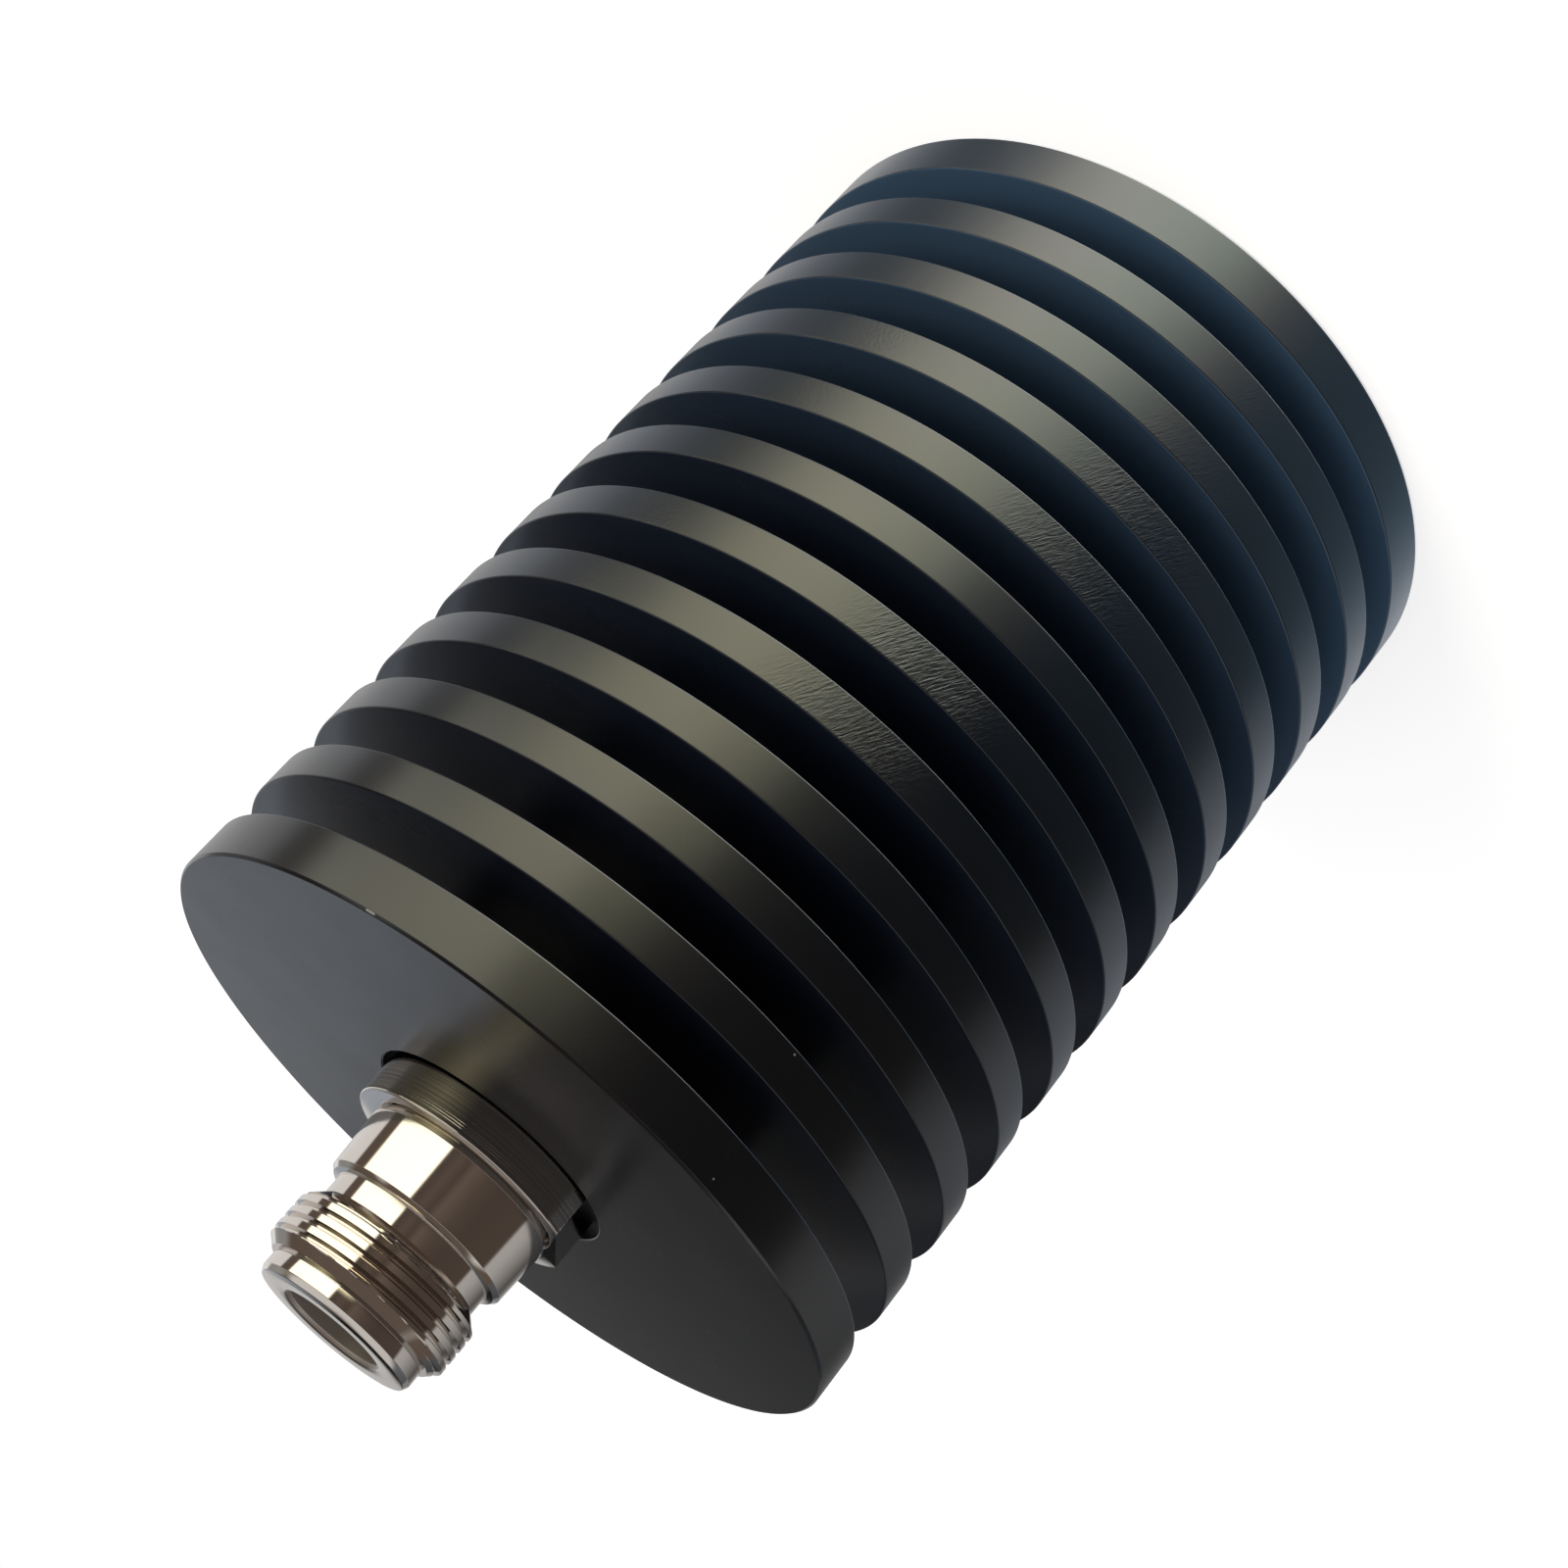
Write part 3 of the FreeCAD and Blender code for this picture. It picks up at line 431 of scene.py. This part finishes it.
def softened(corners, steps=4):
    # (radius, height, rounding) corners to points, with small arcs where a rounding is given
    points = []
    for k, corner in enumerate(corners):
        here = Vector(corner[:2])
        if len(corner) < 3 or k in (0, len(corners) - 1):
            points.append(tuple(here))
            continue
        rounding = corner[2]
        before = (Vector(corners[k - 1][:2]) - here).normalized()
        after = (Vector(corners[k + 1][:2]) - here).normalized()
        half = before.angle(after) / 2
        middle = here + (before + after).normalized() * rounding / math.sin(half)
        start = here + before * rounding / math.tan(half) - middle
        end = here + after * rounding / math.tan(half) - middle
        for step in range(steps + 1):
            spoke = start.slerp(end, step / steps).normalized() * rounding
            points.append(tuple(middle + spoke))
    return points


def closedShell(item, finish):
    # Doubles merged, faces outwards, one material, sharp edges kept crisp
    shell = bmesh.new()
    shell.from_mesh(item.data)
    bmesh.ops.remove_doubles(shell, verts=shell.verts, dist=weld)
    bmesh.ops.dissolve_degenerate(shell, edges=shell.edges, dist=sliver)
    bmesh.ops.recalc_face_normals(shell, faces=shell.faces)
    openEdges = sum(1 for edge in shell.edges if len(edge.link_faces) != 2)
    for face in shell.faces:
        face.material_index = 0
    shell.to_mesh(item.data)
    shell.free()
    item.data.materials.clear()
    item.data.materials.append(materials[finish])
    item.data.shade_smooth()
    item.data.set_sharp_from_angle(angle=math.radians(crisp))
    print("stage:", item.name, len(item.data.polygons), "faces,", openEdges, "open edges")


def flatFaces(item):
    # Big faces keep their own direction right up to the small roundings beside them
    modifier = item.modifiers.new("flatFaces", "WEIGHTED_NORMAL")
    modifier.keep_sharp = True
    bakeModifiers(item)
    print("stage:", item.name, "own normals:", item.data.has_custom_normals)


def cutAway(item, cutters):
    # Holes and flats, cut by closed shapes
    for cutter in cutters:
        modifier = item.modifiers.new("cut", "BOOLEAN")
        modifier.operation = "DIFFERENCE"
        modifier.solver = "MANIFOLD"
        modifier.object = cutter
    bakeModifiers(item)
    for cutter in cutters:
        bpy.data.objects.remove(cutter)


def cutterFrom(name, shell, place):
    # Closed cutting shape, put in its place
    bmesh.ops.transform(shell, matrix=place, verts=shell.verts)
    mesh = bpy.data.meshes.new(name)
    shell.to_mesh(mesh)
    shell.free()
    return linked(name, mesh)


def roundCutter(name, radius, depth, segments, place):
    # Cylinder that cuts a hole, centred on the place and along its Z
    shell = bmesh.new()
    bmesh.ops.create_cone(shell, cap_ends=True, segments=segments, radius1=radius * mm, radius2=radius * mm,
                          depth=depth * mm)
    return cutterFrom(name, shell, place)


sink = {
    "radius": 30.0, "length": 82.0,
    "endFin": 4.1, "gap": 3.8, "gaps": 11,
    "core": 15.0,
    "rim": 0.14,                           # rounding of every fin's edge
    "endRim": 0.2, "endRimSoft": 0.04,     # broken edges of the two end faces, and their own rounding
    "root": 0.35,                          # rounding where a fin leaves the core
    "recess": 10.2, "recessDepth": 1.0, "recessRim": 0.15,
    "bore": 8.0, "boreEnd": 42.0, "boreRim": 0.4, "drillPoint": 4.8,
    "lockHole": 1.5, "lockSegments": 48,   # hole of the grub screw
    "segments": 320,
}

materials = {"anodised_aluminium": anodisedAluminium(), "nickel_plate": nickelPlate()}
materials.update({name: simpleMetal(name, *look) for name, look in innerMetals.items()})
materials.update({name: dull(name, *look) for name, look in innerDull.items()})
print("stage: materials")

spin = turningTree()
screw = threadTree()


def makeHeatSink():
    # Two end fins and ten between them on a core, with the recess and the bore of the jack
    s = sink
    rim, root, wide, core = s["rim"], s["root"], s["radius"], s["core"]
    broken, soft = s["endRim"], s["endRimSoft"]
    top = s["length"]
    floor = top - s["recessDepth"]
    pitch = (top - 2 * s["endFin"] - s["gap"]) / (s["gaps"] - 1)
    corners = [(0, 0), (wide - broken, 0, soft), (wide, broken, soft)]
    for k in range(s["gaps"]):
        low = s["endFin"] + k * pitch
        high = low + s["gap"]
        corners += [(wide, low, rim), (core, low, root), (core, high, root), (wide, high, rim)]
    corners += [
        (wide, top - broken, soft), (wide - broken, top, soft),
        (s["recess"], top, s["recessRim"]), (s["recess"], floor),
        (s["bore"] + s["boreRim"], floor), (s["bore"], floor - s["boreRim"]),
        (s["bore"], s["boreEnd"]), (0, s["boreEnd"] - s["drillPoint"])]
    item = profileLine("turned_heat_sink", softened(corners))
    runTree(item, spin, {"Segments": s["segments"], "Finish": materials["anodised_aluminium"]})
    closedShell(item, "anodised_aluminium")

    # Hole of the grub screw, from the bore to the bottom of the gap behind the front fin
    lockHeight = top - s["endFin"] - s["gap"] / 2
    middle = (s["bore"] + core + overcut) / 2
    place = Matrix.Translation(Vector((0, middle, lockHeight)) * mm) @ Matrix.Rotation(math.pi / 2, 4, "X")
    depth = core - s["bore"] + 2 * overcut
    cutAway(item, [roundCutter("lock_hole", s["lockHole"], depth, s["lockSegments"], place)])
    closedShell(item, "anodised_aluminium")
    flatFaces(item)
    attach(item, "root")
    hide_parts("heat_sink")


makeHeatSink()

# Heights of the jack are counted from the front face of the heat sink
jack = {
    "spigot": 7.97, "spigotEnd": -9.0, "beadBore": 4.25,
    "base": 9.7, "baseLow": -1.0, "baseTop": 3.2, "baseEdge": 0.18,
    "turn": 13.1,                         # degrees from -X towards the camera side: where the flat faces
    "flat": 8.8, "flatCutter": (4.0, 30.0),       # milled flat: distance from the axis; cutter's depth and width
    "slit": 7.5, "slitWidth": 0.35,
    "collar": 8.02, "collarTip": 7.78, "collarTop": 8.65, "collarBevel": 0.35,
    "neck": 6.85, "neckTop": 10.4,
    "crest": 7.94, "backCone": 1.1, "frontCone": 0.75, "coneEnd": 7.15,
    "pitch": 1.0583, "depth": 0.42,       # 24 turns to the inch, crests well truncated
    "crestFlat": 0.5, "rootFlat": 0.1,    # shares of the pitch
    "noseBack": 15.6, "noseSlit": 6.45, "noseSlitWidth": 0.2,
    "nose": 6.75, "noseBevel": (0.26, 0.48), "noseEdge": 0.12, "height": 17.45,
    "mouth": 4.05, "mouthChamfer": 0.3, "planeHeight": 8.35, "line": 3.5, "lineHeight": 5.15,
    "edge": 0.06,                         # rounding of the turned edges
    "segments": 256, "rows": 20,          # round the axis, and of the thread in one pitch
    "taps": [(5.4, 2.5), (-5.4, 2.5)],    # holes in the spigot's end
    "tapRadius": 1.0, "tapDepth": 3.8, "tapSegments": 32,
}


def makeJack():
    # One turned piece with its thread, a milled flat on the base and two tapped holes behind
    j = jack
    face = sink["length"]
    edge = j["edge"]
    slitTop = j["baseTop"] + j["slitWidth"]
    noseLow = j["noseBack"] + j["noseSlitWidth"]
    bevelIn, bevelDown = j["noseBevel"]
    bevel = j["collarBevel"]
    corners = [
        (j["coneEnd"], j["noseBack"]), (j["noseSlit"], j["noseBack"]), (j["noseSlit"], noseLow),
        (j["nose"], noseLow, edge), (j["nose"], j["height"] - bevelDown, j["noseEdge"]),
        (j["nose"] - bevelIn, j["height"], j["noseEdge"]),
        (j["mouth"] + j["mouthChamfer"], j["height"], edge), (j["mouth"], j["height"] - j["mouthChamfer"], edge),
        (j["mouth"], j["planeHeight"]), (j["line"], j["planeHeight"], edge), (j["line"], j["lineHeight"]),
        (j["beadBore"], j["lineHeight"]), (j["beadBore"], j["spigotEnd"]), (j["spigot"], j["spigotEnd"]),
        (j["spigot"], j["baseLow"]), (j["base"], j["baseLow"]), (j["base"], j["baseTop"], j["baseEdge"]),
        (j["slit"], j["baseTop"]), (j["slit"], slitTop), (j["collar"], slitTop, edge),
        (j["collarTip"], j["collarTop"] - bevel, edge), (j["collarTip"] - bevel, j["collarTop"], edge),
        (j["neck"], j["collarTop"], edge), (j["neck"], j["neckTop"])]
    item = profileLine("turned_jack", [(across, up + face) for across, up in softened(corners)])
    runTree(item, spin, {"Segments": j["segments"], "Finish": materials["nickel_plate"]})
    runTree(item, screw, {
        "Pitch": j["pitch"] * mm, "Crest": j["crest"] * mm, "Depth": j["depth"] * mm,
        "Crest End": j["crestFlat"] / 2, "Root Start": 0.5 - j["rootFlat"] / 2,
        "Low": (face + j["neckTop"]) * mm, "High": (face + j["noseBack"]) * mm,
        "Low Radius": j["neck"] * mm, "Low Slope": (j["crest"] - j["neck"]) / j["backCone"],
        "High Radius": j["coneEnd"] * mm, "High Slope": (j["crest"] - j["coneEnd"]) / j["frontCone"],
        "Rows": j["rows"], "Turns": math.ceil((j["noseBack"] - j["neckTop"]) / j["pitch"]) + 1,
        "Segments": j["segments"], "Finish": materials["nickel_plate"]})
    closedShell(item, "nickel_plate")

    turn = Matrix.Rotation(math.radians(j["turn"]), 4, "Z")
    deep, broad = j["flatCutter"]
    middle = Vector((-j["flat"] - deep / 2, 0, face + (j["baseTop"] + j["baseLow"]) / 2)) * mm
    size = (deep * mm, broad * mm, (j["baseTop"] - j["baseLow"] + overcut) * mm, 1)
    shell = bmesh.new()
    bmesh.ops.create_cube(shell, size=1.0)
    cutters = [cutterFrom("milled_flat", shell, turn @ Matrix.Translation(middle) @ Matrix.Diagonal(size))]
    for x, y in j["taps"]:
        middle = Vector((x, y, face + j["spigotEnd"] + (j["tapDepth"] - overcut) / 2)) * mm
        cutters.append(roundCutter("tapped_hole", j["tapRadius"], j["tapDepth"] + overcut, j["tapSegments"],
                                   turn @ Matrix.Translation(middle)))
    cutAway(item, cutters)
    closedShell(item, "nickel_plate")
    flatFaces(item)
    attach(item, "root")
    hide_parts("connector_body")


makeJack()

# Every node of the frame gets the material of its slot
for name, node in frame["nodes"].items():
    slotName = next(s["material_slot"] for s in frame["record"]["subparts"] if s["node"] == name)
    node.data.materials.clear()
    node.data.materials.append(materials[slotName])

# Stage: white floor and world, lamps, camera

stage = {
    "floor": 4.0,                  # metres
    "paper": 0.8,                  # white paper of the floor
    "glow": (0.5, 0.62),           # brings the paper to white for the camera, less by the object to keep its shadow
    "glowReach": (0.12, 0.5),      # metres from the middle
    "fill": 0.5,                   # even light of the room
    "aim": (0, 0, 50),
    # Softboxes: place, side of the square, watts, colour
    "lamps": {
        "window_side": ((380, -160, 320), 400, 1.6, "#fff6e8"),
        "far_side": ((-350, 150, 350), 400, 0.8, "#ffffff"),
    },
}


def whiteFloor():
    half = stage["floor"] / 2
    mesh = bpy.data.meshes.new("studio_floor")
    corners = [(-half, -half, 0), (half, -half, 0), (half, half, 0), (-half, half, 0)]
    mesh.from_pydata(corners, [], [(0, 1, 2, 3)])
    floor = linked("studio_floor", mesh)
    material = bpy.data.materials.new("floor_paper")
    material.use_nodes = True
    tree = material.node_tree
    tree.nodes.clear()
    paper = addNode(tree, "ShaderNodeBsdfDiffuse", {"Color": grey(stage["paper"])})["BSDF"]
    place = addNode(tree, "ShaderNodeTexCoord")["Object"]
    away = addNode(tree, "ShaderNodeVectorMath", {0: place}, operation="LENGTH")["Value"]
    level = addNode(tree, "ShaderNodeMapRange", {
        "Value": away, "From Min": stage["glowReach"][0], "From Max": stage["glowReach"][1],
        "To Min": stage["glow"][0], "To Max": stage["glow"][1]}, interpolation_type="SMOOTHSTEP")[0]
    seen = addNode(tree, "ShaderNodeLightPath")["Is Camera Ray"]
    strength = addNode(tree, "ShaderNodeMath", {0: seen, 1: level}, operation="MULTIPLY")[0]
    glow = addNode(tree, "ShaderNodeEmission", {"Color": grey(1.0), "Strength": strength})["Emission"]
    both = addNode(tree, "ShaderNodeAddShader", {0: paper, 1: glow})[0]
    addNode(tree, "ShaderNodeOutputMaterial", {"Surface": both})
    mesh.materials.append(material)
    floor.visible_glossy = False        # gloss sees the lower bands of the studio instead


# What gloss sees round the object. Each band is a range of heights; its stops go round from the camera
# side towards +X: (degrees, strength, light)
studio = {
    "lights": {
        "white": "#ffffff", "cream": "#fffbe4", "pale": "#eefbf1", "straw": "#fffad0", "brown": "#ffe4d2",
        "sky": "#e7f1ff", "blue": "#b4deff",
    },
    "bands": [
        [   # straight down: white paper
            (-180, 5.0, "white"), (180, 5.0, "white")],
        [   # well under the horizon: table top, bright by the window
            (-180, 0.95, "white"), (-140, 1.3, "sky"), (-110, 0.87, "blue"), (-90, 0.78, "blue"),
            (-70, 0.68, "blue"), (-50, 0.68, "blue"), (-30, 0.85, "blue"), (-15, 1.2, "white"),
            (0, 3.5, "pale"), (15, 4.9, "pale"), (30, 5.2, "pale"), (45, 4.7, "white"), (60, 3.4, "white"),
            (75, 1.6, "sky"), (90, 0.9, "sky"), (105, 0.4, "blue"), (125, 0.55, "sky"), (150, 1.0, "white"),
            (180, 0.95, "white")],
        [   # nearer to it: the table's outer part, dark except towards the window
            (-180, 0.2, "white"), (-140, 0.5, "sky"), (-110, 0.5, "sky"), (-90, 0.01, "white"),
            (-15, 0.01, "white"), (0, 0.12, "brown"), (15, 2.8, "straw"), (30, 4.0, "straw"),
            (45, 4.0, "straw"), (60, 3.2, "straw"), (75, 1.0, "cream"), (90, 0.2, "blue"),
            (105, 0.55, "sky"), (125, 0.8, "sky"), (150, 0.8, "white"), (180, 0.2, "white")],
        [   # just under the horizon: window with a dark frame, dim room by the camera, white behind
            (-180, 0.58, "white"), (-165, 0.5, "white"), (-152, 0.2, "white"), (-140, 0.1, "white"),
            (-128, 0.2, "white"), (-115, 0.32, "white"), (-100, 0.46, "white"), (-88, 0.5, "white"),
            (-84, 0.09, "brown"), (-40, 0.08, "brown"), (-20, 0.1, "brown"), (-4, 0.15, "brown"),
            (4, 0.09, "brown"), (14, 0.12, "brown"), (27, 0.08, "brown"), (29, 2.2, "cream"),
            (94, 2.1, "cream"), (96, 0.12, "brown"), (111, 0.12, "brown"), (114, 0.85, "white"),
            (150, 0.83, "white"), (180, 0.58, "white")],
        [   # just over it: the same with little of the window's light
            (-180, 0.58, "white"), (-160, 0.25, "white"), (-120, 0.3, "white"), (-88, 0.4, "white"),
            (-84, 0.09, "brown"), (30, 0.09, "brown"), (42, 0.25, "straw"), (60, 0.6, "straw"),
            (78, 0.3, "straw"), (94, 0.2, "cream"), (96, 0.12, "brown"), (111, 0.12, "brown"),
            (116, 0.75, "white"), (160, 0.9, "white"), (180, 0.58, "white")],
        [   # low over it: dim room
            (-180, 0.0, "white"), (-150, 0.1, "sky"), (-110, 0.2, "sky"), (-80, 0.08, "white"),
            (30, 0.06, "white"), (60, 0.48, "straw"), (90, 0.2, "straw"), (120, 0.35, "white"),
            (150, 0.3, "white"), (165, 0.55, "sky"), (177, 0.44, "sky"), (180, 0.0, "white")],
        [   # well over it: pale ceiling on the camera's half
            (-180, 0.1, "brown"), (-118, 0.14, "brown"), (-104, 0.7, "white"), (96, 0.75, "white"),
            (108, 0.14, "brown"), (180, 0.1, "brown")],
        [   # overhead: dim
            (-180, 0.14, "brown"), (180, 0.14, "brown")],
    ],
    # Sines of the heights over which one band passes into the next
    "steps": [(-0.96, -0.86), (-0.68, -0.48), (-0.48, -0.26), (-0.07, 0.02), (0.155, 0.2), (0.42, 0.56),
              (0.76, 0.86)],
}


def studioWorld():
    # White for the camera, even soft light for matt surfaces, the studio above for gloss
    world = bpy.data.worlds.new("studio")
    bpy.context.scene.world = world
    world.use_nodes = True
    tree = world.node_tree
    tree.nodes.clear()
    way = addNode(tree, "ShaderNodeTexCoord")["Generated"]
    part, angle = angleRound(tree, way)
    share = addNode(tree, "ShaderNodeMapRange", {"Value": angle, "From Min": -math.pi, "From Max": math.pi})[0]
    gloss = None
    for band, step in zip(studio["bands"], [None] + studio["steps"]):
        stops = [(turnShare(degrees), [strength * c for c in hexColour(studio["lights"][light])[:3]] + [1.0])
                 for degrees, strength, light in band]
        shine = addNode(tree, "ShaderNodeValToRGB", {"Fac": share}, stops)["Color"]
        if step:
            amount = addNode(tree, "ShaderNodeMapRange", {
                "Value": part["Z"], "From Min": step[0], "From Max": step[1]}, interpolation_type="SMOOTHSTEP")[0]
            shine = addNode(tree, "ShaderNodeMix", {0: amount, 6: gloss, 7: shine}, data_type="RGBA")[2]
        gloss = shine
    rays = addNode(tree, "ShaderNodeLightPath")
    room = addNode(tree, "ShaderNodeBackground", {"Color": grey(1.0), "Strength": stage["fill"]})[0]
    mirrored = addNode(tree, "ShaderNodeBackground", {"Color": gloss})[0]
    white = addNode(tree, "ShaderNodeBackground", {"Color": grey(1.0), "Strength": 1.0})[0]
    lit = addNode(tree, "ShaderNodeMixShader", {0: rays["Is Glossy Ray"], 1: room, 2: mirrored})[0]
    seen = addNode(tree, "ShaderNodeMixShader", {0: rays["Is Camera Ray"], 1: lit, 2: white})[0]
    addNode(tree, "ShaderNodeOutputWorld", {"Surface": seen})


def softbox(name, place, side, power, colour):
    lamp = bpy.data.lights.new(name, "AREA")
    lamp.shape = "SQUARE"
    lamp.size = side * mm
    lamp.energy = power
    lamp.color = hexColour(colour)[:3]
    item = linked(name, lamp)
    item.location = Vector(place) * mm
    item.rotation_euler = (Vector(stage["aim"]) * mm - item.location).to_track_quat("-Z", "Y").to_euler()
    item.visible_glossy = False        # gloss sees the window of the world instead


whiteFloor()
studioWorld()
for name, look in stage["lamps"].items():
    softbox(name, *look)

camera = {
    "place": (0.0, -177.546, 126.645),
    "angles": (-61.4378, 37.0966, -162.1157),    # degrees
    "focal": 2521.0,               # pixels of the 1600 pixel frame
    "middle": (729.53, 883.30),    # pixel that the lens points at
    "frame": 1600,
    "sensor": 36.0, "near": 10.0,
}


def studioCamera():
    c = camera
    lens = bpy.data.cameras.new("studio_camera")
    lens.sensor_width = c["sensor"]
    lens.lens = c["sensor"] * c["focal"] / c["frame"]
    lens.shift_x = 0.5 - c["middle"][0] / c["frame"]
    lens.shift_y = c["middle"][1] / c["frame"] - 0.5
    lens.clip_start = c["near"] * mm
    item = linked("studio_camera", lens)
    item.location = Vector(c["place"]) * mm
    item.rotation_euler = Euler([math.radians(a) for a in c["angles"]], "XYZ")
    bpy.context.scene.camera = item


studioCamera()
bpy.context.scene.view_settings.view_transform = "Standard"
print("stage: floor, lamps, camera")
